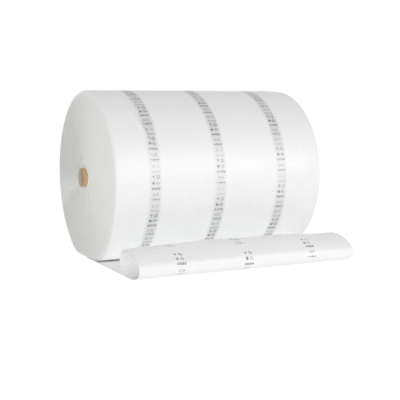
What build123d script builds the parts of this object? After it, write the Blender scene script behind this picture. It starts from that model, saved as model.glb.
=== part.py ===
"""A roll of bubble film lying on its side: a wound kraft tube and one long web of film.

Frame: millimetres, +Z up. The origin is on the floor, under the roll's axis at mid-width.
+X runs along the tube, and the film's free end lies towards -Y.
"""

from build123d import *
import math
import os

# Film
film_width = 1000.0
film_thickness = 4.7  # two films and the bubbles between them, as one turn adds it

# Roll
roll_radius = 385.5  # of the turn that shows at the front
settling = 23.0  # how much lower the axis lies than a stiff roll's would, which gives the flat spot
heel_radius = 150.0  # bend of the turns at each edge of the flat spot
shoulder_radius = 14.0  # where the turns' edges relax around each end face

# Tube
tube_bore_radius = 38.0
tube_wall = 5.0
tube_overhang = 18.0  # past the film at each end
tube_edge_break = 0.6
wind_clearance = 0.2  # radial, between the tube and the first turn

# Free end: it lies flat, lifts, turns back at a blunt nose and comes down behind a low crown.
# Radii are to the middle of the film.
flat_run = 415.0  # from the edge of the flat spot to where the film lifts off the floor
lift_radius = 148.0
lift_angle = 32.0
nose_radius = 27.5
crown_radius = 212.0
crown_angle = 36.0
crown_run = 15.0  # the short level stretch on top
tucked_run = 50.0  # the last stretch, lying inside on the film below
tuck_clearance = 0.3

tube_radius = tube_bore_radius + tube_wall
axis_height = roll_radius - settling
front_foot = -math.sqrt(roll_radius**2 - axis_height**2)  # where the front turn meets the floor
end_plane = Plane.YZ.offset(-film_width / 2)


def core_tube():
    """The tube that the film is wound on, square cut and open from end to end."""
    length = film_width + 2 * tube_overhang
    section = Circle(tube_radius) - Circle(tube_bore_radius)
    tube = extrude(Plane.YZ.offset(-length / 2) * section, length)
    rims = tube.edges().filter_by(GeomType.CIRCLE)
    return Pos(0, 0, axis_height) * chamfer(rims, tube_edge_break)


def wound_turns():
    """The turns as one body.

    The outline is a two-centre spiral. Its back half has a centre half a thickness lower and a
    radius half a thickness larger, so at the bottom the last turn lies one thickness outside
    the turn before it. The floor cuts the spiral off, with a heel at each edge of the flat.
    """
    top = axis_height + roll_radius
    back_radius = roll_radius + film_thickness / 2
    back_centre = top - back_radius
    back_foot = math.sqrt(back_radius**2 - back_centre**2)

    front = ThreePointArc((front_foot, 0), (-roll_radius, axis_height), (0, top))
    back = ThreePointArc((0, top), (back_radius, back_centre), (back_foot, 0))
    flat = Line((back_foot, 0), (front_foot, 0))
    outline = make_face([front, back, flat])
    feet = outline.vertices().sort_by(Axis.Y)[:2]
    outline = fillet(feet, heel_radius)

    body = extrude(end_plane * outline, film_width)
    ends = body.faces().filter_by(Axis.X)
    body = fillet(ends.edges(), shoulder_radius)
    seat = Circle(tube_radius + wind_clearance)
    return body - extrude(end_plane * Pos(0, axis_height) * seat, film_width)


def free_end():
    """The web from under the axis to its free edge, the same film at the same thickness."""
    nose_angle = 180 - lift_angle - crown_angle
    floor = Line((0, film_thickness / 2), (front_foot - flat_run, film_thickness / 2))
    lift = JernArc(floor @ 1, floor % 1, lift_radius, -lift_angle)
    nose = JernArc(lift @ 1, lift % 1, nose_radius, -nose_angle)
    crown = JernArc(nose @ 1, nose % 1, crown_radius, -crown_angle)
    level = Line(crown @ 1, crown @ 1 + crown % 1 * crown_run)

    # The back bends down until the film lies on the layer below, clear by the tuck clearance.
    tucked_height = 1.5 * film_thickness + tuck_clearance
    back_radius = ((level @ 1).Y - tucked_height) / 2
    back = JernArc(level @ 1, level % 1, back_radius, -180)
    tucked = Line(back @ 1, back @ 1 + back % 1 * tucked_run)

    path = Curve() + [floor, lift, nose, crown, level, back, tucked]
    return extrude(end_plane * trace(path, film_thickness), film_width)


def bubble_film():
    """All of the film: the wound turns with the free end still joined to the last of them."""
    return wound_turns() + free_end()


os.makedirs("parts", exist_ok=True)
export_step(core_tube(), "parts/core_tube.step")
export_step(bubble_film(), "parts/bubble_film.step")
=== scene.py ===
"""The looks of a roll of bubble film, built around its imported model.

Metres, +Z up, +X along the tube, the film's free end towards -Y. The origin is on the floor under
the roll's axis. Sections follow the roll as it is made up: the film as it leaves the last turn, the
free end, the turns' edges at each end of the roll, and the tube.
"""

import bpy
import numpy as np
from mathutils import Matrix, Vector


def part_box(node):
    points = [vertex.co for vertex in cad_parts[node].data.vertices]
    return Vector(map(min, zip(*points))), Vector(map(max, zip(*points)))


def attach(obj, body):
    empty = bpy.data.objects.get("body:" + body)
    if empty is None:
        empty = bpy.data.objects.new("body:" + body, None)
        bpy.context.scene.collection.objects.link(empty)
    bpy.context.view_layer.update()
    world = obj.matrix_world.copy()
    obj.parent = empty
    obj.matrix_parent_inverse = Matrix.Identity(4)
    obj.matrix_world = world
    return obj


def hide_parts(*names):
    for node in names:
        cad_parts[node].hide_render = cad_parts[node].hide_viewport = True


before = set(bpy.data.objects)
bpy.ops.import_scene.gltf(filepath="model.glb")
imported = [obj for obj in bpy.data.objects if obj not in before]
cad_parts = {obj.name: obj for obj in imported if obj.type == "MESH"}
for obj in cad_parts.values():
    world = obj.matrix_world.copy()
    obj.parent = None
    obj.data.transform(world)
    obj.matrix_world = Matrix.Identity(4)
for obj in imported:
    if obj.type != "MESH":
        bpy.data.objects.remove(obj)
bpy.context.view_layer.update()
film_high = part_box("bubble_film")[1]
tube_low, tube_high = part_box("core_tube")


# ---- The last turn -----------------------------------------------------------------------------
# Bubble film is two layers of milky polyethylene. One is drawn into round pockets, and the flat
# one is sealed across them. It is wound with the flat, printed layer outwards, so the turn that
# shows is smooth apart from a faint swelling over each pocket. Slack makes it a little uneven.

axis_height = (tube_low[2] + tube_high[2]) / 2
roll_radius = film_high[2] - axis_height
half_width = film_high[0]
film_thickness = 0.0047
floor_clearance = 0.0004
heel_radius = 0.150
shoulder_radius = 0.010

bubble_columns = 91
bubble_pitch = 2 * half_width / bubble_columns
row_pitch = bubble_pitch * np.sqrt(3) / 2
cell_radius = bubble_pitch / np.sqrt(3)
pocket_radius = 0.005

swelling_height = 0.0008
swelling_ring = 0.0039
slack_height = 0.0011
ripple_length = 0.42
held_near_nip = 0.12
held_near_shoulder = 0.06
right_droop, right_droop_reach = 0.0045, 0.09
left_droop, left_droop_reach = 0.0012, 0.04
droop_begins = 0.06
crease_height = 0.0074
crease_width = 0.011
crease_start = -0.390
crease_drift = 0.053
# These are distances along the turn from the nip, in roll radii.
crease_rises, crease_fades, crease_drifts = (1.40, 1.75), (2.3, 2.75), (2.20, 1.62)
pressed_length = 0.030
floor_ease = 0.02


def carried_along(runs, start, heading, distance):
    """Points and headings at these distances along a chain of runs in the YZ plane.

    A run is (length, radius), and radius None is straight. Within a run the heading falls by
    distance over radius. A point is the run's start plus the chord, which is the distance times
    the sine of half the turn over half the turn, laid along the mean heading.
    """
    lengths = np.array([length for length, _ in runs])
    bends = np.array([0.0 if radius is None else 1 / radius for _, radius in runs])
    run_start = np.concatenate([[0.0], np.cumsum(lengths)])
    run_heading = heading - np.concatenate([[0.0], np.cumsum(lengths * bends)])

    def step(length, first_heading, bend):
        half_turn = length * bend / 2
        chord = length * np.sinc(half_turn / np.pi)
        mean = first_heading - half_turn
        return np.stack([chord * np.cos(mean), chord * np.sin(mean)], axis=-1)

    steps = step(lengths, run_heading[:-1], bends)
    corners = np.array(start) + np.concatenate([np.zeros((1, 2)), np.cumsum(steps, axis=0)])
    run = np.clip(np.searchsorted(run_start, distance, side="right") - 1, 0, len(runs) - 1)
    past = distance - run_start[run]
    points = corners[run] + step(past, run_heading[run], bends[run])
    return points, run_heading[run] - past * bends[run]


def eased(value, low, high):
    """0 below low and 1 above high, with the cubic 3t^2 - 2t^3 between."""
    t = np.clip((value - low) / (high - low), 0, 1)
    return t * t * (3 - 2 * t)


def ripples(along, across, seed, longest, count=9):
    """A soft uneven height from -1 to 1: the mean of a few sine waves of random slant and phase.

    The waves' lengths run from the longest one down to about a third of it.
    """
    draw = np.random.default_rng(seed)
    total = np.zeros(np.broadcast(along, across).shape)
    for _ in range(count):
        slant = draw.uniform(0, np.pi)
        waves = 2 * np.pi / (longest * draw.uniform(0.35, 1.0))
        total += np.sin(waves * (along * np.cos(slant) + across * np.sin(slant)) + draw.uniform(0, 2 * np.pi))
    return total / np.sqrt(count) / 1.6


def bubble_cells(rows, columns, rings, first_domed=0):
    """Hexagonal cells of bubbles, as (across, along, share of a dome's height) and their faces.

    Cells stand in rows across the film, each row set off by half a pitch from the row before. The
    rows share zigzag lines of cell corners. A domed cell has a centre and rings of six points, at
    these radii, on the lines from the centre to the corners. A point's height there is that of
    half an ellipse, the root of one less its share of the pocket's radius squared. Rows before
    first_domed are plain hexagons.
    """
    line = np.arange(rows + 1)[:, None]
    half_step = np.arange(2 * columns + 1)[None, :]
    zigzag = np.where((line + half_step) % 2 == 0, 1, -1) * (line > 0) * (line < rows) / 6
    along = (line + zigzag) * row_pitch
    across = (half_step - columns) * bubble_pitch / 2 + 0 * line
    lines = np.stack([across, along, 0 * along], axis=-1).reshape(-1, 3)

    row, column = np.divmod(np.arange(rows * columns), columns)
    inside = column < columns - row % 2
    row, column = row[inside], column[inside]
    left = 2 * column + row % 2
    below = row * (2 * columns + 1) + left
    above = below + 2 * columns + 1
    corner = np.stack([below, below + 1, below + 2, above + 2, above + 1, above], axis=1)

    domed = row >= first_domed
    centre = np.stack(
        [(left[domed] + 1 - columns) * bubble_pitch / 2, (row[domed] + 0.5) * row_pitch], axis=1
    )
    spokes = lines[corner[domed], :2] - centre[:, None, :]
    points = [lines, np.column_stack([centre, np.ones(len(centre))])]
    faces = [corner[~domed]]
    inner = None
    for radius in rings:
        ring = centre[:, None, :] + spokes * radius / cell_radius
        height = np.full((*ring.shape[:2], 1), np.sqrt(max(1 - (radius / pocket_radius) ** 2, 0)))
        first = sum(len(p) for p in points)
        points.append(np.concatenate([ring, height], axis=2).reshape(-1, 3))
        outer = first + np.arange(6 * len(centre)).reshape(-1, 6)
        after = np.roll(outer, -1, axis=1)
        if inner is None:
            hub = np.repeat(len(lines) + np.arange(len(centre)), 6).reshape(-1, 6)
            faces.append(np.stack([hub, outer, after], axis=-1).reshape(-1, 3))
        else:
            faces.append(
                np.stack([inner, outer, after, np.roll(inner, -1, axis=1)], axis=-1).reshape(-1, 4)
            )
        inner = outer
    rim = corner[domed]
    faces.append(
        np.stack([inner, rim, np.roll(rim, -1, axis=1), np.roll(inner, -1, axis=1)], axis=-1).reshape(-1, 4)
    )

    # A row that is set off ends in half a cell at each side.
    offset_row = np.arange(1, rows, 2)
    for side in (0, 2 * columns - 1):
        low = offset_row * (2 * columns + 1) + side
        high = low + 2 * columns + 1
        faces.append(np.stack([low, low + 1, high + 1, high], axis=1))
    return np.concatenate(points), faces


def surface_piece(name, points, faces, finishes, finish_of=None, maps=None):
    """A smooth-shaded mesh object from arrays: points, groups of faces, finishes and UV maps."""
    mesh = bpy.data.meshes.new(name)
    corners = np.concatenate([group.ravel() for group in faces])
    sizes = np.concatenate([np.full(len(group), group.shape[1]) for group in faces])
    mesh.vertices.add(len(points))
    mesh.vertices.foreach_set("co", points.astype(np.float32).ravel())
    mesh.loops.add(len(corners))
    mesh.loops.foreach_set("vertex_index", corners.astype(np.int32))
    mesh.polygons.add(len(sizes))
    mesh.polygons.foreach_set("loop_start", (np.cumsum(sizes) - sizes).astype(np.int32))
    for finish in finishes:
        mesh.materials.append(finish)
    if finish_of is not None:
        mesh.polygons.foreach_set("material_index", finish_of.astype(np.int32))
    for label, places in (maps or {}).items():
        layer = mesh.uv_layers.new(name=label)
        layer.data.foreach_set("uv", places[corners].astype(np.float32).ravel())
    mesh.update(calc_edges=True)
    mesh.shade_smooth()
    piece = bpy.data.objects.new(name, mesh)
    bpy.context.collection.objects.link(piece)
    return piece


def node(tree, kind, inputs=(), **settings):
    """A shader node of that kind. Each input is linked if it is a socket, and otherwise set."""
    made = tree.nodes.new(kind)
    for name, value in settings.items():
        setattr(made, name, value)
    for key, value in dict(inputs).items():
        if isinstance(value, bpy.types.NodeSocket):
            tree.links.new(value, made.inputs[key])
        else:
            made.inputs[key].default_value = value
    return made


def maths(tree, operation, *values):
    """The result of a Math node on these sockets or numbers."""
    return node(tree, "ShaderNodeMath", dict(enumerate(values)), operation=operation).outputs[0]


def vector_maths(tree, operation, *values):
    """The result of a Vector Math node on these sockets or triples."""
    made = node(tree, "ShaderNodeVectorMath", dict(enumerate(values)), operation=operation)
    return made.outputs["Value" if operation == "LENGTH" else "Vector"]


def ramp(tree, value, low, high, to_low=0.0, to_high=1.0):
    """value mapped smoothly from low..high to to_low..to_high, and held at those ends."""
    inputs = {"Value": value, "From Min": low, "From Max": high, "To Min": to_low, "To Max": to_high}
    return node(tree, "ShaderNodeMapRange", inputs, interpolation_type="SMOOTHSTEP").outputs["Result"]


def effect_group(name, inputs, outputs):
    """An empty node group with these named sockets: (tree, its input node, its output node)."""
    tree = bpy.data.node_groups.new(name, "ShaderNodeTree")
    for label, kind, value in inputs:
        socket = tree.interface.new_socket(label, in_out="INPUT", socket_type=kind)
        if value is not None:
            socket.default_value = value
    for label, kind in outputs:
        tree.interface.new_socket(label, in_out="OUTPUT", socket_type=kind)
    return tree, tree.nodes.new("NodeGroupInput"), tree.nodes.new("NodeGroupOutput")


def placed_effect(tree, group, **inputs):
    """That node group placed in a material, with its own values."""
    made = node(tree, "ShaderNodeGroup", node_tree=group)
    for key, value in inputs.items():
        if isinstance(value, bpy.types.NodeSocket):
            tree.links.new(value, made.inputs[key])
        else:
            made.inputs[key].default_value = value
    return made


# Distance from the nearest pocket's centre. The centres are two plain grids, one for the rows in
# line and one for the rows set off, so the distance is the lesser of two wrapped ones.
pockets, given, result = effect_group(
    "film pockets", [("Place", "NodeSocketVector", None)], [("Distance", "NodeSocketFloat")]
)
nearest = []
for first_across, first_along in ((0.0, 0.5), (0.5, 1.5)):
    moved = vector_maths(
        pockets,
        "SUBTRACT",
        given.outputs["Place"],
        (first_across * bubble_pitch, first_along * row_pitch, 0),
    )
    wrapped = vector_maths(
        pockets,
        "WRAP",
        moved,
        (bubble_pitch / 2, row_pitch, 1),
        (-bubble_pitch / 2, -row_pitch, -1),
    )
    nearest.append(vector_maths(pockets, "LENGTH", wrapped))
pockets.links.new(maths(pockets, "MINIMUM", *nearest), result.inputs["Distance"])

# The print: blocks of plain marks repeat along three strips, and the strips' blocks are out of step.
# From the top, a block is a triangle and a ring, a dot and a ring, a broken bar, two small rings, and
# a cross with a long bar.
strip_pitch = 0.306
middle_strip = -0.016
strip_half_width = 0.025
block_pitch = 0.168

strips, given, result = effect_group(
    "printed strips",
    [
        ("Place", "NodeSocketVector", None),
        ("First Block", "NodeSocketFloat", 0.0),
        ("Lean", "NodeSocketFloat", 0.0),
        ("Bow", "NodeSocketFloat", 0.0),
        ("Softness", "NodeSocketFloat", 0.0008),
    ],
    [("Strip", "NodeSocketFloat"), ("Marks", "NodeSocketFloat")],
)
parts = node(strips, "ShaderNodeSeparateXYZ", {0: given.outputs["Place"]})
from_middle_strip = maths(strips, "SUBTRACT", parts.outputs["X"], middle_strip)
across = maths(strips, "WRAP", from_middle_strip, strip_pitch / 2, -strip_pitch / 2)
strip_number = maths(strips, "DIVIDE", maths(strips, "SUBTRACT", from_middle_strip, across), strip_pitch)
first_block = maths(
    strips,
    "ADD",
    maths(strips, "MULTIPLY_ADD", strip_number, given.outputs["Lean"], given.outputs["First Block"]),
    maths(strips, "MULTIPLY", maths(strips, "ABSOLUTE", strip_number), given.outputs["Bow"]),
)
# A block's first row is at 0 and its last at -0.1, so the wrap puts the bare film beyond them.
along = maths(
    strips,
    "WRAP",
    maths(strips, "SUBTRACT", parts.outputs["Y"], first_block),
    block_pitch / 2 - 0.050,
    -block_pitch / 2 - 0.050,
)
from_middle = maths(strips, "ABSOLUTE", across)


def within(value, limit):
    """1 where value is under limit, falling softly to 0 just past it."""
    half = maths(strips, "MULTIPLY", given.outputs["Softness"], 0.5)
    inputs = {
        "Value": value,
        "From Min": maths(strips, "SUBTRACT", limit, half),
        "From Max": maths(strips, "ADD", limit, half),
        "To Min": 1.0,
        "To Max": 0.0,
    }
    return node(strips, "ShaderNodeMapRange", inputs, interpolation_type="SMOOTHSTEP").outputs["Result"]


def from_line(height):
    """Distance along the film from the line at that height in the block."""
    return maths(strips, "ABSOLUTE", maths(strips, "SUBTRACT", along, height))


def from_point(side, height):
    """Distance from the point that far across the strip and that high in the block."""
    place = node(
        strips,
        "ShaderNodeCombineXYZ",
        {0: maths(strips, "SUBTRACT", across, side), 1: maths(strips, "SUBTRACT", along, height)},
    )
    return vector_maths(strips, "LENGTH", place.outputs[0])


def from_circle(distance, radius):
    """Distance from the circle of that radius, given the distance from its centre."""
    return maths(strips, "ABSOLUTE", maths(strips, "SUBTRACT", distance, radius))


def joined(*masks):
    """The product of these masks."""
    total = masks[0]
    for mask in masks[1:]:
        total = maths(strips, "MULTIPLY", total, mask)
    return total


to_bar_block = maths(strips, "ABSOLUTE", maths(strips, "WRAP", across, 0.0105, 0.0))
triangle_side = maths(
    strips,
    "MULTIPLY_ADD",
    maths(strips, "ABSOLUTE", maths(strips, "ADD", across, 0.0105)),
    1.7,
    maths(strips, "MULTIPLY", along, -1.0),
)
marks = [
    within(from_circle(from_point(0.0105, 0.0), 0.0062), 0.0015),
    joined(within(triangle_side, 0.0060), within(along, 0.0055), within(from_line(0.0), 0.0085)),
    within(from_point(-0.0110, -0.0255), 0.0066),
    within(from_circle(from_point(0.0095, -0.0255), 0.0052), 0.0015),
    joined(
        within(from_line(-0.0490), 0.0046),
        within(from_middle, 0.0205),
        within(maths(strips, "ABSOLUTE", maths(strips, "SUBTRACT", to_bar_block, 0.00525)), 0.0040),
    ),
    joined(
        within(from_circle(from_point(-0.0075, -0.0755), 0.0047), 0.0013), 0.75
    ),
    joined(
        within(from_circle(from_point(0.0075, -0.0755), 0.0047), 0.0013), 0.75
    ),
    joined(within(from_line(-0.0960), 0.0015), within(from_middle, 0.0225)),
    joined(within(from_line(-0.0960), 0.0070), within(from_middle, 0.0015)),
]
total = marks[0]
for mark in marks[1:]:
    total = maths(strips, "MAXIMUM", total, mark)
strips.links.new(total, result.inputs["Marks"])
strips.links.new(
    ramp(strips, from_middle, strip_half_width - 0.010, strip_half_width + 0.010, 1.0, 0.0),
    result.inputs["Strip"],
)

film_white = (0.900, 0.910, 0.905, 1)
film_web = (0.850, 0.862, 0.856, 1)
ghost_grey = (0.55, 0.555, 0.555, 1)
mark_grey = (0.13, 0.135, 0.14, 1)
circumference_shift = 0.070
# Light also glints back from the faces beneath, so the film reflects more than one face of it would.
film_ior = 2.0


def film_finish(name, bubble_depth, roughness, web=film_web, pocket=film_white):
    """Milky film in its web colour, and in its pocket colour over each pocket, with fine slack.

    A sealed ring is pressed in round each pocket. Gives the material, its place on the film and its
    colour so far, for the print to go over.
    """
    finish = bpy.data.materials.new(name)
    finish.use_nodes = True
    tree = finish.node_tree
    shader = tree.nodes["Principled BSDF"]
    place = node(tree, "ShaderNodeUVMap", uv_map="web").outputs["UV"]
    distance = placed_effect(tree, pockets, Place=place).outputs["Distance"]
    cloud = node(
        tree,
        "ShaderNodeTexNoise",
        {"Vector": place, "Scale": 7.0, "Detail": 3.0, "Roughness": 0.55},
    ).outputs["Fac"]
    over_pocket = ramp(tree, distance, pocket_radius * 0.86, pocket_radius * 1.04, 1.0, 0.0)
    milky = node(
        tree,
        "ShaderNodeMix",
        {
            "Factor": maths(tree, "MULTIPLY_ADD", over_pocket, 0.55, maths(tree, "MULTIPLY", cloud, 0.5)),
            "A": web,
            "B": pocket,
        },
        data_type="RGBA",
    )
    from_seal = maths(tree, "ABSOLUTE", maths(tree, "SUBTRACT", distance, pocket_radius))
    sealed_ring = ramp(tree, from_seal, 0.0, 0.0007, 1.0, 0.0)
    wrinkle = node(
        tree,
        "ShaderNodeTexNoise",
        {
            "Vector": vector_maths(tree, "MULTIPLY", place, (1.0, 0.35, 1.0)),
            "Scale": 60.0,
            "Detail": 4.0,
            "Roughness": 0.6,
        },
    ).outputs["Fac"]
    height = maths(tree, "MULTIPLY_ADD", sealed_ring, -0.35, maths(tree, "MULTIPLY", wrinkle, 0.5))
    bump = node(tree, "ShaderNodeBump", {"Height": height, "Strength": bubble_depth, "Distance": 0.0010})
    tree.links.new(bump.outputs["Normal"], shader.inputs["Normal"])
    uneven = ramp(tree, cloud, 0.3, 0.7, roughness - 0.06, roughness + 0.06)
    tree.links.new(uneven, shader.inputs["Roughness"])
    shader.inputs["IOR"].default_value = film_ior
    return finish, place, milky.outputs["Result"]


def inked(tree, colour, mask, share, ink):
    """The colour with this share of the ink mixed over it where the mask is."""
    inputs = {"Factor": maths(tree, "MULTIPLY", mask, share), "A": colour, "B": ink}
    return node(tree, "ShaderNodeMix", inputs, data_type="RGBA").outputs["Result"]


def ink_weight(tree, place):
    """How heavy the ink is: it varies in soft patches."""
    patches = node(tree, "ShaderNodeTexNoise", {"Vector": place, "Scale": 34.0, "Detail": 2.0}).outputs["Fac"]
    return ramp(tree, patches, 0.30, 0.58, 0.60, 1.0)


# On the roll the print of the turns beneath shows through. The nearest one's marks are soft ghosts,
# shifted by what the turn's length leaves over from whole blocks. The deeper ones blend into a grey
# strip. The strip, the ghosts and the top marks are all painted fainter across the lit band at the
# front of the roll, a painted highlight.
printed_film, place, colour = film_finish("printed film", 0.4, 0.36)
tree = printed_film.node_tree
blocks = {"First Block": 0.0525, "Lean": -0.032, "Bow": 0.076}
printed = placed_effect(tree, strips, Place=place, **blocks)
beneath = vector_maths(tree, "SUBTRACT", place, (0.0025, circumference_shift, 0))
ghost = placed_effect(tree, strips, Place=beneath, Softness=0.004, **blocks)
along = node(tree, "ShaderNodeSeparateXYZ", {0: place}).outputs["Y"]
# Painted highlight: the print is faded where the front of the roll catches the light.
painted_highlight_fade = ramp(tree, maths(tree, "ABSOLUTE", maths(tree, "SUBTRACT", along, 0.50)), 0.04, 0.24, 0.42, 1.0)
colour = inked(tree, colour, printed.outputs["Strip"], maths(tree, "MULTIPLY", painted_highlight_fade, 0.60), ghost_grey)
colour = inked(tree, colour, ghost.outputs["Marks"], maths(tree, "MULTIPLY", painted_highlight_fade, 0.42), mark_grey)
ink_share = maths(tree, "MULTIPLY", ink_weight(tree, place), ramp(tree, painted_highlight_fade, 0.42, 1.0, 0.68, 0.88))
colour = inked(tree, colour, printed.outputs["Marks"], ink_share, mark_grey)
tree.links.new(colour, tree.nodes["Principled BSDF"].inputs["Base Color"])

# The turn runs from the nip at the front, over the top, down the back and flat under the roll. The
# back half is struck from a centre half a thickness lower, so it ends one thickness further out.
front_heel = -np.sqrt((roll_radius - heel_radius) ** 2 - (axis_height - floor_clearance - heel_radius) ** 2)
front_sweep = np.arctan2(-front_heel, axis_height - floor_clearance - heel_radius)
nip_angle = np.arccos(1 - film_thickness / heel_radius)
nip = np.array(
    [front_heel - heel_radius * np.sin(nip_angle), floor_clearance + film_thickness]
)
back_radius = roll_radius + film_thickness / 2
back_centre = axis_height - film_thickness / 2
back_heel = np.sqrt((back_radius - heel_radius) ** 2 - (back_centre - floor_clearance - heel_radius) ** 2)
back_sweep = np.arctan2(back_heel, back_centre - floor_clearance - heel_radius)
turn_runs = [
    (heel_radius * (front_sweep - nip_angle), heel_radius),
    (roll_radius * (np.pi - front_sweep), roll_radius),
    (back_radius * (np.pi - back_sweep), back_radius),
    (heel_radius * back_sweep, heel_radius),
    (back_heel - nip[0] + 2 * row_pitch, None),
]
total_lengths = np.concatenate([[0.0], np.cumsum([length for length, _ in turn_runs])])
turn_rows = round((total_lengths[-1] - row_pitch) / row_pitch)
turn_columns = bubble_columns + 1
flat_half = half_width - shoulder_radius


def on_turn(across, along, height):
    """Points on the last turn, at these places on the film and heights out from it.

    Along the film they follow the turn's path. Across it they lie level as far as the shoulders.
    There they bend inwards on an arc of the shoulder's radius, and any film left over lies flat on
    the roll's end. Towards each end the film droops by an eased step, more at the right. Slack
    lifts and drops it by the ripples' height, and a crease runs round the roll near one shoulder.
    Where the roll's weight presses on the film, its height is left out.
    """
    base, heading = carried_along(turn_runs, nip, np.pi - nip_angle, along)
    out = np.stack([-np.sin(heading), np.cos(heading)], axis=-1)
    side = np.sign(across)
    past_flat = np.maximum(np.abs(across) - flat_half, 0)
    bend = np.minimum(past_flat / shoulder_radius, np.pi / 2)
    inset = shoulder_radius * (1 - np.cos(bend)) + np.maximum(past_flat - shoulder_radius * np.pi / 2, 0)
    droop = right_droop * eased(across, half_width - right_droop_reach, half_width) + left_droop * eased(
        -across, half_width - left_droop_reach, half_width
    )

    from_nip = np.minimum(along, total_lengths[4] - along)
    free = eased(from_nip, 0.0, held_near_nip)
    free = free * (1 - eased(np.abs(across), flat_half - held_near_shoulder, flat_half))
    slack = slack_height * ripples(along, across * 0.55, 3, ripple_length)
    turned = along / roll_radius
    crease_line = crease_start + crease_drift * eased(turned, *crease_drifts) + 0.002 * np.sin(9 * turned)
    crease_reach = eased(turned, *crease_rises) * (1 - eased(turned, *crease_fades))
    off = (across - crease_line) / crease_width
    crease = crease_reach * crease_height * (np.exp(-(off**2)) - 0.6 * np.exp(-(((off - 2.4) / 1.8) ** 2)))
    on_floor = eased(along, total_lengths[3], total_lengths[4] + floor_ease)
    pressed = np.where(along > total_lengths[4] - pressed_length, 0.0, 1.0)
    lift = pressed * height * (1 - eased(np.abs(across), flat_half, half_width)) + free * (slack + crease)

    depth = inset + droop * eased(along, 0.0, droop_begins) * (1 - on_floor) - lift * np.cos(bend)
    yz = base - out * depth[:, None]
    x = side * (np.minimum(np.abs(across), flat_half) + (shoulder_radius + lift) * np.sin(bend))
    return np.column_stack([x, yz])


places, cells = bubble_cells(turn_rows, turn_columns, (swelling_ring,))
points = on_turn(places[:, 0], places[:, 1], swelling_height * places[:, 2])
web_places = places[:, :2] + [0, row_pitch]
turn_parts = [("last_turn_front", 0.0, 0.34), ("last_turn_top", 0.34, 0.67), ("last_turn_back", 0.67, 1.01)]
turn_length = turn_rows * row_pitch
for name, first, last in turn_parts:
    chosen = []
    for group in cells:
        middle = places[group, 1].mean(axis=1) / turn_length
        chosen.append(group[(middle >= first) & (middle < last)])
    used, renumbered = np.unique(np.concatenate([group.ravel() for group in chosen]), return_inverse=True)
    ends = np.cumsum([group.size for group in chosen])
    chosen = [
        part.reshape(-1, group.shape[1])
        for part, group in zip(np.split(renumbered.ravel(), ends[:-1]), chosen)
    ]
    piece = surface_piece(name, points[used], chosen, [printed_film], maps={"web": web_places[used]})
    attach(piece, "root")
    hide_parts("bubble_film")


# ---- The free end --------------------------------------------------------------------------------
# The film comes off the bottom of the roll, lies flat with its pockets up, and its end curls back
# over itself in a loose scroll, because it keeps the set of the roll. Its edges are slit clean. It is
# made as two sheets, which meet edge to edge at the foot of the scroll.

lift_radius, lift_angle = 0.148, np.radians(32)
nose_radius = 0.0275
crown_radius, crown_angle = 0.212, np.radians(36)
crown_run = 0.015
tucked_run = 0.050
tuck_clearance = 0.0003
web_thickness = 0.0003
dome_height = 0.0038
dome_rings = (0.0027, 0.0046)
first_pocket_row = 12
first_swollen_row = 3
scatter_share = 0.50
scroll_rise = 0.008
scroll_sag = 0.012
scroll_uneven_y, scroll_uneven_z = 0.0045, 0.0040
uneven_before, uneven_after = 0.02, 0.10

# Radii are to the printed side, which is half a thickness outside the film's middle.
outside = film_thickness / 2
front_foot = -np.sqrt(roll_radius**2 - axis_height**2)
flat_run = 0.415
nose_turn = np.pi - lift_angle - crown_angle
lifted = (
    (lift_radius + outside) * (1 - np.cos(lift_angle))
    + (nose_radius + outside) * (np.cos(lift_angle) + np.cos(crown_angle))
    + (crown_radius + outside) * (1 - np.cos(crown_angle))
)
scroll_back_radius = (lifted - film_thickness - tuck_clearance) / 2
end_runs = [
    (-front_foot + flat_run, None),
    ((lift_radius + outside) * lift_angle, lift_radius + outside),
    ((nose_radius + outside) * nose_turn, nose_radius + outside),
    ((crown_radius + outside) * crown_angle, crown_radius + outside),
    (crown_run, None),
    (scroll_back_radius * np.pi, scroll_back_radius),
    (tucked_run, None),
]
end_length = sum(length for length, _ in end_runs)
end_rows = 2 * round(end_length / row_pitch / 2)
lift_row = int((-front_foot + flat_run) / row_pitch)

# One thickness of film lets light through, so only its own marks show on it, and less from inside.
# Its colours are painted paler than the roll's film, painted light for the light that comes through it.
end_film, place, colour = film_finish(
    "free film", 0.4, 0.38, web=(0.90, 0.907, 0.90, 1), pocket=(0.935, 0.94, 0.935, 1)
)
tree = end_film.node_tree
end_blocks = {"First Block": 0.128, "Lean": 0.0135, "Bow": 0.0415}
printed = placed_effect(tree, strips, Place=place, **end_blocks)
ink_share = maths(tree, "MULTIPLY", ink_weight(tree, place), 0.86)
colour = inked(tree, colour, printed.outputs["Marks"], ink_share, mark_grey)
tree.links.new(colour, tree.nodes["Principled BSDF"].inputs["Base Color"])
tree.nodes["Principled BSDF"].inputs["IOR"].default_value = 1.6

# The pockets side is painted much paler than the printed side, painted light for the light that comes through
# the film.
pockets_film, place, colour = film_finish(
    "film with its pockets out", 0.15, 0.34, web=(0.96, 0.964, 0.96, 1), pocket=(0.98, 0.983, 0.98, 1)
)
tree = pockets_film.node_tree
printed = placed_effect(tree, strips, Place=place, Softness=0.004, **end_blocks)
colour = inked(tree, colour, printed.outputs["Marks"], 0.16, mark_grey)
tree.links.new(colour, tree.nodes["Principled BSDF"].inputs["Base Color"])
shader = tree.nodes["Principled BSDF"]
shader.inputs["IOR"].default_value = 1.9
# Light scatters inside the pockets, so their sides shade more like the flat film between them.
facing = node(tree, "ShaderNodeAttribute", attribute_name="facing").outputs["Vector"]
softened = node(
    tree,
    "ShaderNodeMix",
    {"Factor": scatter_share, "A": shader.inputs["Normal"].links[0].from_socket, "B": facing},
    data_type="VECTOR",
)
tree.links.new(vector_maths(tree, "NORMALIZE", softened.outputs["Result"]), shader.inputs["Normal"])


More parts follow.
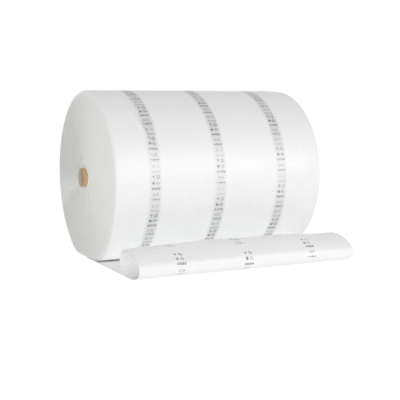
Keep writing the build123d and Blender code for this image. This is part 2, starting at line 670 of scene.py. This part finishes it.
def on_free_end(across, along, height):
    """Points on the free end, at these places on the film and heights out from its printed side.

    Along the film they follow the free end's path. The scroll stands a little higher at mid-width
    and sags back at its left end, in proportion to how far off the floor it is, and ripples make
    it uneven.
    """
    base, heading = carried_along(end_runs, (0.0, floor_clearance), np.pi, along)
    out = np.stack([-np.sin(heading), np.cos(heading)], axis=-1)
    base = base + out * height[:, None]
    off_floor = np.clip(base[:, 1] / lifted, 0, 1.2)
    scroll = eased(along, -front_foot + flat_run - uneven_before, -front_foot + flat_run + uneven_after)
    higher = scroll_rise * np.cos(np.pi * across) * off_floor
    back = scroll_sag * eased(-across, 0.30, 0.5) * eased(off_floor, 0.0, 0.5)
    uneven = scroll * off_floor * ripples(across, along * 0.8, 11, ripple_length)
    y = base[:, 0] + back + scroll_uneven_y * uneven
    z = base[:, 1] + higher + scroll_uneven_z * uneven
    return np.column_stack([across, y, z])


def end_sheet(name, first_row, last_row, swelling_row, inner_rings, first_domed, finishes):
    """A closed sheet of the free end's film, between two rows of its cells.

    The two sides have the same zigzag lines, so a narrow strip of faces closes each edge. The web
    map runs on from the last turn's, and the rows' spacing is stretched to fit the end's length. The
    facing attribute holds the plain film's normal, outwards on each side.
    """
    rows = last_row - first_row
    outer, outer_cells = bubble_cells(rows, bubble_columns, (swelling_ring,), first_domed=swelling_row)
    inner, inner_cells = bubble_cells(rows, bubble_columns, inner_rings, first_domed=first_domed)
    places = np.concatenate([outer, inner])
    along = places[:, 1] + first_row * row_pitch
    height = np.concatenate([swelling_height * outer[:, 2], -web_thickness - dome_height * inner[:, 2]])
    along_path = along * end_length / (end_rows * row_pitch)
    points = on_free_end(places[:, 0], along_path, height)

    lines = np.arange((rows + 1) * (2 * bubble_columns + 1)).reshape(rows + 1, -1)
    shift = len(outer)
    loop = np.concatenate([lines[0, :-1], lines[:-1, -1], lines[-1, :0:-1], lines[:0:-1, 0]])
    following = np.roll(loop, -1)
    edges = np.stack([following, loop, loop + shift, following + shift], axis=1)
    faces = outer_cells + [group[:, ::-1] + shift for group in inner_cells] + [edges]
    finish_of = np.concatenate(
        [np.full(len(group), 0 if k < len(outer_cells) else 1) for k, group in enumerate(faces)]
    )
    web = np.column_stack([places[:, 0], along + rows_before * row_pitch])
    piece = surface_piece(name, points, faces, finishes, finish_of=finish_of, maps={"web": web})
    heading = carried_along(end_runs, (0.0, floor_clearance), np.pi, along_path)[1]
    side = np.where(np.arange(len(places)) < len(outer), 1, -1)
    facing = np.stack([0 * heading, -np.sin(heading) * side, np.cos(heading) * side], axis=1)
    attribute = piece.data.attributes.new("facing", "FLOAT_VECTOR", "POINT")
    attribute.data.foreach_set("vector", facing.astype(np.float32).ravel())
    return piece


nip_along = sum(length for length, _ in turn_runs) - 2 * row_pitch
rows_before = 2 * round((nip_along + nip[0]) / row_pitch / 2)
end_finishes = [end_film, pockets_film]
scroll_row = 2 * (lift_row // 2)
flat_film = end_sheet("flat_film", 0, scroll_row, scroll_row, dome_rings, first_pocket_row, end_finishes)
scroll_film = end_sheet(
    "scroll_film", scroll_row, end_rows, first_swollen_row, (swelling_ring,), 0, end_finishes
)
flat_film_length = end_length * scroll_row / end_rows
for piece, length, under in (
    (flat_film, flat_film_length, "last_turn_front"),
    (scroll_film, end_length - flat_film_length, "flat_film"),
):
    # Light comes through the single film, and leaving out its shadow stands for that.
    piece.visible_shadow = False
    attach(piece, "root")
    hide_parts("bubble_film")


# ---- The turns' edges ----------------------------------------------------------------------------
# Each end of the roll shows the edges of some seventy turns, one outside the other in a spiral.
# The slit edges stand out and the pockets between them are lower. No two turns stand quite level,
# and near the tube the turns were pulled tight, so they sink in and pucker in soft spokes.

tube_radius = (tube_high[2] - tube_low[2]) / 2
turn_count = (roll_radius - tube_radius) / film_thickness
edge_relief = 0.0011
edge_uneven = 0.0012
edge_lean = 0.30
spoke_height, spoke_fade = 0.0030, 0.085
spoke_count = 7
dish_depth, dish_fade = 0.006, 0.030
crumple_height = 0.0085
crumple_length = 0.060
crumple_place = (0.250, 0.290)
crumple_reach = (0.050, 0.045)
knocked_way = (0, 0.966, -0.259)
rim_samples = 3000
angle_steps = 256

film_edges = bpy.data.materials.new("turn edges")
film_edges.use_nodes = True
tree = film_edges.node_tree
shader = tree.nodes["Principled BSDF"]
# The map holds the turn's number across and the distance round the roll along.
place = node(tree, "ShaderNodeUVMap", uv_map="turns").outputs["UV"]
parts = node(tree, "ShaderNodeSeparateXYZ", {0: place})
turn_number, round_roll = parts.outputs["X"], parts.outputs["Y"]
own_turn = maths(tree, "FLOOR", turn_number)
in_turn = maths(tree, "ABSOLUTE", maths(tree, "SUBTRACT", maths(tree, "FRACT", turn_number), 0.5))
turn_shade = node(tree, "ShaderNodeTexWhiteNoise", {"W": own_turn}, noise_dimensions="1D").outputs["Value"]
round_place = node(
    tree,
    "ShaderNodeCombineXYZ",
    {0: maths(tree, "MULTIPLY", turn_number, film_thickness), 1: round_roll},
).outputs[0]
froth = node(
    tree,
    "ShaderNodeTexVoronoi",
    {"Vector": round_place, "Scale": 130.0, "Randomness": 0.75},
    feature="SMOOTH_F1",
).outputs["Distance"]
patches = node(
    tree, "ShaderNodeTexNoise", {"Vector": round_place, "Scale": 9.0, "Detail": 3.0}
).outputs["Fac"]
# The slit edges are paler, and the low hollows between them are painted darker, a painted shade; each turn's
# random tone, the froth and the patches are added on top.
slit_edge = ramp(tree, in_turn, 0.10, 0.34, 1.0, 0.0)
pale_edges_and_hollow_shade = maths(
    tree,
    "ADD",
    maths(tree, "MULTIPLY_ADD", slit_edge, 0.38, maths(tree, "MULTIPLY", turn_shade, 0.22)),
    maths(tree, "MULTIPLY_ADD", froth, 0.25, maths(tree, "MULTIPLY", patches, 0.30)),
)
edge_colour = node(
    tree,
    "ShaderNodeMix",
    {"Factor": pale_edges_and_hollow_shade, "A": (0.87, 0.874, 0.842, 1), "B": (0.955, 0.957, 0.93, 1)},
    data_type="RGBA",
)
tree.links.new(edge_colour.outputs["Result"], shader.inputs["Base Color"])
edge_height = maths(tree, "MULTIPLY_ADD", slit_edge, 0.6, maths(tree, "MULTIPLY", froth, 0.7))
bump = node(tree, "ShaderNodeBump", {"Height": edge_height, "Strength": 0.45, "Distance": 0.0015})
# The slit edges lean outwards a little, away from the tube. The lean is in the shading alone.
spot = node(tree, "ShaderNodeSeparateXYZ", {0: node(tree, "ShaderNodeTexCoord").outputs["Object"]})
outwards = node(
    tree,
    "ShaderNodeCombineXYZ",
    {1: spot.outputs["Y"], 2: maths(tree, "SUBTRACT", spot.outputs["Z"], float(axis_height))},
).outputs[0]
outwards = vector_maths(tree, "NORMALIZE", outwards)
# In one narrow sector, where the roll was knocked, they lean less.
knocked = node(tree, "ShaderNodeVectorMath", {0: outwards, 1: knocked_way}, operation="DOT_PRODUCT")
knocked = ramp(tree, knocked.outputs["Value"], 0.962, 1.0, 1.0, 0.2)
leans = maths(tree, "MULTIPLY", knocked, ramp(tree, patches, 0.3, 0.7, edge_lean * 0.8, edge_lean * 1.2))
lean = node(tree, "ShaderNodeVectorMath", {0: outwards, "Scale": leans}, operation="SCALE").outputs["Vector"]
leaning = vector_maths(tree, "NORMALIZE", vector_maths(tree, "ADD", bump.outputs["Normal"], lean))
tree.links.new(leaning, shader.inputs["Normal"])
tree.links.new(ramp(tree, froth, 0.1, 0.7, 0.36, 0.56), shader.inputs["Roughness"])
shader.inputs["IOR"].default_value = 1.51

# The outline that the edges fill is the last turn's, drawn in by what its shoulder takes.
shoulder_reach = turn_columns * bubble_pitch / 2
rim_along = np.linspace(0, turn_length - 2 * row_pitch, rim_samples)
turned = np.linspace(0, 2 * np.pi, angle_steps + 1)
rows = np.arange(0, 2 * int(turn_count + 2) + 1)
spiral = rows[:, None] / 2 - 1 + turned[None, :] / (2 * np.pi)
share = np.clip(spiral / turn_count, 0, 1)
inside_rim = eased(share, 0, 0.02) * (1 - eased(share, 0.975, 1.0))

for end_name, end_side, seed in (("left", -1, 5), ("right", 1, 6)):
    rim = on_turn(np.full(rim_samples, end_side * shoulder_reach), rim_along, np.zeros(rim_samples))
    rim_out, rim_up = rim[:, 1], rim[:, 2] - axis_height
    rim_angle = np.unwrap(np.arctan2(rim_up, rim_out))
    order = np.argsort(-rim_angle)
    rim_angle, rim_distance = -rim_angle[order], np.hypot(rim_out, rim_up)[order]
    first_angle = rim_angle[0]
    outer_radius = np.interp(turned + first_angle, rim_angle, rim_distance)
    radius = tube_radius + (outer_radius - tube_radius) * share
    angle = -(turned + first_angle)
    draw = np.random.default_rng(seed)
    turn_level = np.convolve(draw.normal(0, 1, len(rows) + 6), np.ones(4) / 2, mode="same")[: len(rows), None]
    wave_phase = draw.uniform(0, 2 * np.pi, 3)
    waver = sum(
        np.sin((k + 2) * turned[None, :] + wave_phase[k] + 0.13 * rows[:, None] * (k + 1)) for k in range(3)
    )
    crest = np.where(rows % 2 == 0, 0.5, -0.5)[:, None]
    near_tube = np.exp(-(radius - tube_radius) / spoke_fade)
    spokes = near_tube * np.cos(spoke_count * turned + draw.uniform(0, 6) + 1.3 * np.sin(2 * turned))
    dish = dish_depth * np.exp(-(radius - tube_radius) / dish_fade)
    lift = inside_rim * (
        edge_relief * crest + edge_uneven * (0.35 * turn_level + 0.3 * waver) + spoke_height * spokes - dish
    )
    if end_side < 0:
        # A knock has crumpled a few of the edges low down at the back of the left end.
        edge_y, edge_z = radius * np.cos(angle), axis_height + radius * np.sin(angle)
        off_y = (edge_y - crumple_place[0]) / crumple_reach[0]
        off_z = (edge_z - crumple_place[1]) / crumple_reach[1]
        reach = np.exp(-(off_y**2) - off_z**2)
        lift = lift + crumple_height * reach * ripples(edge_y, edge_z, 8, crumple_length)
    x = half_width + lift
    points = np.stack([end_side * x, radius * np.cos(angle), axis_height + radius * np.sin(angle)], axis=-1)
    grid = np.arange(points.shape[0] * points.shape[1]).reshape(points.shape[:2])
    quads = np.stack([grid[:-1, :-1], grid[:-1, 1:], grid[1:, 1:], grid[1:, :-1]], axis=-1).reshape(-1, 4)
    # Rows past the tube or the rim have no width, so their faces are left out.
    flat_share = share.ravel()
    quads = quads[np.ptp(flat_share[quads], axis=1) > 1e-9]
    if end_side < 0:
        quads = quads[:, ::-1]
    turn_map = np.stack([spiral + 0.5, turned[None, :] * radius], axis=-1).reshape(-1, 2)
    piece = surface_piece(
        f"turn_edges_{end_name}", points.reshape(-1, 3), [quads], [film_edges], maps={"turns": turn_map}
    )
    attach(piece, "root")
    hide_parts("bubble_film")


# ---- The tube ------------------------------------------------------------------------------------
# The tube is strips of brown kraft board wound in a spiral and glued, a dozen plies thick. The
# outer strip's edges meet in a line that runs round the tube like a screw thread. Its ends are
# sawn square, so they show the plies and are slightly furred.

bore_radius = 0.038
strip_width = 0.110
seam_depth = 0.0003
ply_count = 12
tube_half = tube_high[0]

kraft = bpy.data.materials.new("kraft board")
kraft.use_nodes = True
tree = kraft.node_tree
shader = tree.nodes["Principled BSDF"]
# The map holds turns round the tube across, and metres along its wall, round the rim and back.
place = node(tree, "ShaderNodeUVMap", uv_map="wall").outputs["UV"]
object_place = node(tree, "ShaderNodeTexCoord").outputs["Object"]
parts = node(tree, "ShaderNodeSeparateXYZ", {0: object_place})
turns_round = node(tree, "ShaderNodeSeparateXYZ", {0: place}).outputs["X"]
seam_place = maths(tree, "SUBTRACT", maths(tree, "DIVIDE", parts.outputs["X"], strip_width), turns_round)
from_seam = maths(tree, "ABSOLUTE", maths(tree, "WRAP", seam_place, 0.5, -0.5))
from_axis = vector_maths(
    tree,
    "LENGTH",
    node(
        tree,
        "ShaderNodeCombineXYZ",
        {1: parts.outputs["Y"], 2: maths(tree, "SUBTRACT", parts.outputs["Z"], float(axis_height))},
    ).outputs[0],
)
ply = maths(
    tree,
    "PINGPONG",
    maths(
        tree,
        "MULTIPLY",
        maths(tree, "SUBTRACT", from_axis, bore_radius),
        ply_count / (tube_radius - bore_radius),
    ),
    0.5,
)
from_middle = maths(tree, "ABSOLUTE", parts.outputs["X"])
on_rim = ramp(tree, from_middle, float(tube_half) - 0.0012, float(tube_half) - 0.0004)
fibre = node(
    tree,
    "ShaderNodeTexNoise",
    {"Vector": object_place, "Scale": 420.0, "Detail": 5.0, "Roughness": 0.65},
).outputs["Fac"]
stain = node(
    tree,
    "ShaderNodeTexNoise",
    {"Vector": object_place, "Scale": 22.0, "Detail": 3.0},
).outputs["Fac"]
board = node(
    tree,
    "ShaderNodeMix",
    {"Factor": maths(tree, "MULTIPLY_ADD", fibre, 0.6, maths(tree, "MULTIPLY", stain, 0.4)),
     "A": (0.50, 0.345, 0.175, 1), "B": (0.80, 0.585, 0.335, 1)},
    data_type="RGBA",
).outputs["Result"]
# The innermost ply is a paler, greyer paper.
board = node(
    tree,
    "ShaderNodeMix",
    {
        "Factor": ramp(tree, from_axis, bore_radius + 0.0008, bore_radius + 0.0016, 0.62, 0.0),
        "A": board,
        "B": (0.80, 0.76, 0.66, 1),
    },
    data_type="RGBA",
).outputs["Result"]
seam_line = ramp(tree, from_seam, 0.002, 0.012, 1.0, 0.0)
ply_line = maths(tree, "MULTIPLY", on_rim, ramp(tree, ply, 0.02, 0.22, 1.0, 0.0))
darkened = node(
    tree,
    "ShaderNodeMix",
    {"Factor": maths(tree, "MULTIPLY", maths(tree, "MAXIMUM", seam_line, ply_line), 0.55),
     "A": board, "B": (0.20, 0.13, 0.075, 1)},
    data_type="RGBA",
)
tree.links.new(darkened.outputs["Result"], shader.inputs["Base Color"])
board_height = maths(tree, "MULTIPLY_ADD", maths(tree, "MAXIMUM", seam_line, ply_line), -0.6, fibre)
bump = node(tree, "ShaderNodeBump", {"Height": board_height, "Strength": 0.5, "Distance": 0.0004})
tree.links.new(bump.outputs["Normal"], shader.inputs["Normal"])
tree.links.new(ramp(tree, fibre, 0.3, 0.7, 0.82, 0.94), shader.inputs["Roughness"])

rim_round = 0.0006
around = np.linspace(0, 1, 193)
wall_along = np.concatenate(
    [
        np.linspace(-tube_half + rim_round, -half_width - 0.004, 12),
        np.linspace(-half_width + 0.01, half_width - 0.01, 12),
        np.linspace(half_width + 0.004, tube_half - rim_round, 12),
    ]
)
corner_turn = np.linspace(0, np.pi / 2, 4)[1:-1]
sine_cut = rim_round * (1 - np.sin(corner_turn))
cosine_cut = rim_round * (1 - np.cos(corner_turn))
rim_steps = np.linspace(tube_radius - rim_round, bore_radius + rim_round, 9)
bore_steps = np.linspace(tube_half - rim_round, -tube_half + rim_round, 90)
wall_middle = (tube_radius + bore_radius) / 2
profile = np.concatenate(
    [
        np.column_stack([wall_along, np.full(36, tube_radius)]),
        np.column_stack([tube_half - sine_cut, tube_radius - cosine_cut]),
        np.column_stack([np.full(9, tube_half), rim_steps]),
        np.column_stack([tube_half - cosine_cut, bore_radius + sine_cut]),
        np.column_stack([bore_steps, np.full(90, bore_radius)]),
        np.column_stack([-tube_half + sine_cut, bore_radius + cosine_cut]),
        np.column_stack([np.full(9, -tube_half), rim_steps[::-1]]),
        np.column_stack([-tube_half + cosine_cut, tube_radius - sine_cut]),
    ]
)
profile = np.vstack([profile, profile[:1]])
seam_offset = (profile[:, :1] / strip_width - around[None, :] + 0.5) % 1 - 0.5
seam_cut = seam_depth * np.exp(-((seam_offset / 0.012) ** 2)) * np.where(profile[:, 1:] > wall_middle, 1, -1)
wall_radius = profile[:, 1:] - seam_cut
fur = 0.00015 * np.sin(37 * 2 * np.pi * around) * (np.abs(profile[:, :1]) > tube_half - 0.0001)
wall_x = profile[:, :1] + fur * np.sign(profile[:, :1])
points = np.stack(
    [
        wall_x + 0 * wall_radius,
        wall_radius * np.cos(2 * np.pi * around),
        axis_height + wall_radius * np.sin(2 * np.pi * around),
    ],
    axis=-1,
)
grid = np.arange(points.shape[0] * points.shape[1]).reshape(points.shape[:2])
quads = np.stack([grid[:-1, :-1], grid[1:, :-1], grid[1:, 1:], grid[:-1, 1:]], axis=-1).reshape(-1, 4)
wall_length = np.concatenate([[0], np.cumsum(np.hypot(*np.diff(profile, axis=0).T))])
wall_map = np.stack([around[None, :] + 0 * wall_radius, wall_length[:, None] + 0 * wall_radius], axis=-1)
tube = surface_piece(
    "kraft_tube", points.reshape(-1, 3), [quads], [kraft], maps={"wall": wall_map.reshape(-1, 2)}
)
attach(tube, "root")
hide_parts("core_tube")


# ---- Floor, light and camera ---------------------------------------------------------------------
# A pale studio floor under even soft light, with a large soft light in front of the roll and a
# smaller one to its left.

floor_mesh = bpy.data.meshes.new("studio_floor")
floor_radius = 60
floor_turn = np.linspace(0, 2 * np.pi, 97)[:-1]
floor_points = np.column_stack(
    [floor_radius * np.cos(floor_turn), floor_radius * np.sin(floor_turn), 0 * floor_turn]
)
floor_mesh.from_pydata(floor_points.tolist(), [], [list(range(len(floor_points)))])
floor = bpy.data.objects.new("studio_floor", floor_mesh)
bpy.context.collection.objects.link(floor)
pale = bpy.data.materials.new("pale floor")
pale.use_nodes = True
shader = pale.node_tree.nodes["Principled BSDF"]
shader.inputs["Base Color"].default_value = (0.35, 0.35, 0.35, 1)
shader.inputs["Roughness"].default_value = 0.9
shader.inputs["Specular IOR Level"].default_value = 0.0
shader.inputs["Emission Color"].default_value = (1, 1, 1, 1)
tree = pale.node_tree
# The floor in front of the roll is lit more, and throws light up under it.
spot = node(tree, "ShaderNodeSeparateXYZ", {0: node(tree, "ShaderNodeTexCoord").outputs["Object"]})
glow = ramp(tree, spot.outputs["Y"], -0.9, 0.1, 0.70, 0.40)
seen_floor = node(tree, "ShaderNodeLightPath").outputs["Is Camera Ray"]
strength = node(tree, "ShaderNodeMix", {0: seen_floor, 2: glow, 3: 0.80}, data_type="FLOAT")
tree.links.new(strength.outputs[0], shader.inputs["Emission Strength"])
floor_mesh.materials.append(pale)

world = bpy.data.worlds.new("studio")
world.use_nodes = True
bpy.context.scene.world = world
tree = world.node_tree
tree.nodes.clear()
seen = node(tree, "ShaderNodeBackground", {"Color": (1, 1, 1, 1), "Strength": 1.0})
# The walls are a little brighter than the ceiling.
direction = node(tree, "ShaderNodeTexCoord").outputs["Generated"]
upwards = node(tree, "ShaderNodeSeparateXYZ", {0: direction}).outputs["Z"]
lighting = node(
    tree,
    "ShaderNodeBackground",
    {"Color": (1, 1, 1, 1), "Strength": ramp(tree, upwards, 0.0, 0.9, 0.80, 0.63)},
)
is_camera = node(tree, "ShaderNodeLightPath").outputs["Is Camera Ray"]
mixed = node(tree, "ShaderNodeMixShader", {0: is_camera, 1: lighting.outputs[0], 2: seen.outputs[0]})
node(tree, "ShaderNodeOutputWorld", {"Surface": mixed.outputs[0]})

heading = np.radians(26.33)
fall = np.radians(6.53)
camera_data = bpy.data.cameras.new("camera")
camera_data.lens = 78.0
camera_data.sensor_width = 36.0
camera_data.clip_end = 200
camera = bpy.data.objects.new("camera", camera_data)
camera.location = (-1.7498, -3.6838, 0.7021)
camera.rotation_euler = (np.pi / 2 - fall, 0, -heading)
bpy.context.collection.objects.link(camera)
bpy.context.scene.camera = camera


def softbox(name, place, aim, width, height, brightness):
    """A soft rectangular light at this place facing its aim. Its power is pi x area x brightness."""
    data = bpy.data.lights.new(name, "AREA")
    data.shape = "RECTANGLE"
    data.size, data.size_y = width, height
    data.energy = np.pi * width * height * brightness
    light = bpy.data.objects.new(name, data)
    way = np.array(aim) - np.array(place)
    light.location = place
    light.rotation_euler = (np.arctan2(np.hypot(way[0], way[1]), -way[2]), 0, np.arctan2(-way[0], way[1]))
    light.visible_camera = False
    bpy.context.collection.objects.link(light)


softbox("front_box", (1.55, -3.9, 1.55), (0.0, 0.0, 0.40), 1.7, 1.5, 3.6)
softbox("side_box", (-3.2, -2.6, 0.95), (-0.5, 0.0, 0.36), 1.4, 1.2, 2.3)
# This lies just over the flat film, and stands for the white floor's light shining up through it.
softbox("floor_glow", (0.0, -0.33, 0.012), (0.0, -0.33, 1.0), 0.98, 0.40, 0.35)

bpy.context.scene.view_settings.view_transform = "Standard"
